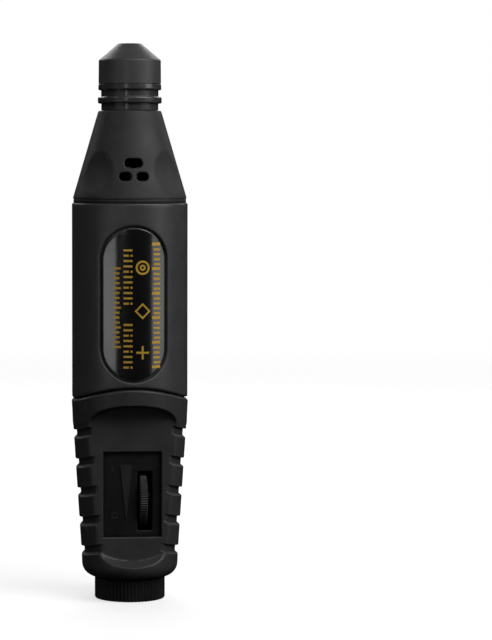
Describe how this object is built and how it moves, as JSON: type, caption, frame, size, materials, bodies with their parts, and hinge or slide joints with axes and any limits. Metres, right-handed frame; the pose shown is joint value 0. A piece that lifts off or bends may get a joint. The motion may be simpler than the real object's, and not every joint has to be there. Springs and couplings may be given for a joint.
{
  "type": "electric nail drill",
  "caption": "Pen-shaped electric nail drill: a motor in the barrel turns a spindle that grips a bit, set by a thumb speed wheel in a grooved grip.",
  "frame": {"origin": "centre of the tail's flat end face", "axes": "+Z along the turning axis to the nose, -Y to the front with the label and the speed wheel, +X to the right seen from the front"},
  "size_m": [0.029, 0.029, 0.1382],
  "materials": {
    "body_plastic": "black ABS with a fine satin grain",
    "label_plastic": "polished black with gold print",
    "dark_plastic": "moulded black",
    "brown_plastic": "phenolic",
    "board": "bare paper laminate with lacquer",
    "rubber": "matt",
    "felt": "pressed felt",
    "steel": "turned or stamped",
    "zinc": "zinc-plated, drawn",
    "brass": "turned",
    "bronze": "sintered",
    "copper": "bright or enamelled",
    "ferrite": "sintered, dull",
    "carbon": "pressed carbon",
    "aluminium": "drawn can",
    "red_insulation": "soft vinyl",
    "black_insulation": "soft vinyl"
  },
  "bodies": {
    "housing": {"nose_cap": "body_plastic", "neck_collar": "body_plastic", "nosepiece": "body_plastic", "barrel": "body_plastic", "grip_front_shell": "body_plastic", "grip_back_shell": "body_plastic", "tail_cap": "body_plastic", "label_plate": "label_plastic", "switch_panel": "dark_plastic", "motor_end_cap": "dark_plastic", "motor_mount": "dark_plastic", "socket_housing": "dark_plastic", "driver_chip": "dark_plastic", "power_transistor": "dark_plastic", "potentiometer": "brown_plastic", "control_board": "board", "motor_damper": "rubber", "dust_seal": "felt", "thrust_washer": "steel", "motor_screw_left": "steel", "motor_screw_right": "steel", "motor_can": "zinc", "socket_pin": "brass", "front_bush": "bronze", "motor_front_bush": "bronze", "motor_rear_bush": "bronze", "motor_terminal_left": "copper", "motor_terminal_right": "copper", "socket_lug_left": "copper", "socket_lug_right": "copper", "potentiometer_pin_1": "copper", "potentiometer_pin_2": "copper", "potentiometer_pin_3": "copper", "magnet_left": "ferrite", "magnet_right": "ferrite", "brush_left": "carbon", "brush_right": "carbon", "capacitor": "aluminium", "motor_wire_red": "red_insulation", "supply_wire_red": "red_insulation", "motor_wire_black": "black_insulation", "supply_wire_black": "black_insulation"},
    "rotor": {"motor_shaft": "steel", "rotor_core": "steel", "winding_1": "copper", "winding_2": "copper", "winding_3": "copper", "commutator": "copper", "spindle": "steel", "bit_sleeve": "brass"},
    "speed_wheel": {"speed_wheel": "dark_plastic", "wheel_shaft": "brass", "wheel_screw": "steel"}
  },
  "joints": [
    {"name": "rotor_spin", "type": "hinge", "parent": "housing", "child": "rotor", "pos_m": [0, 0, 0.08], "axis": [0, 0, 1], "continuous": true},
    {"name": "speed_wheel_turn", "type": "hinge", "parent": "housing", "child": "speed_wheel", "pos_m": [0.00278, -0.003, 0.0253], "axis": [1, 0, 0], "range_deg": [0, 270]}
  ]
}
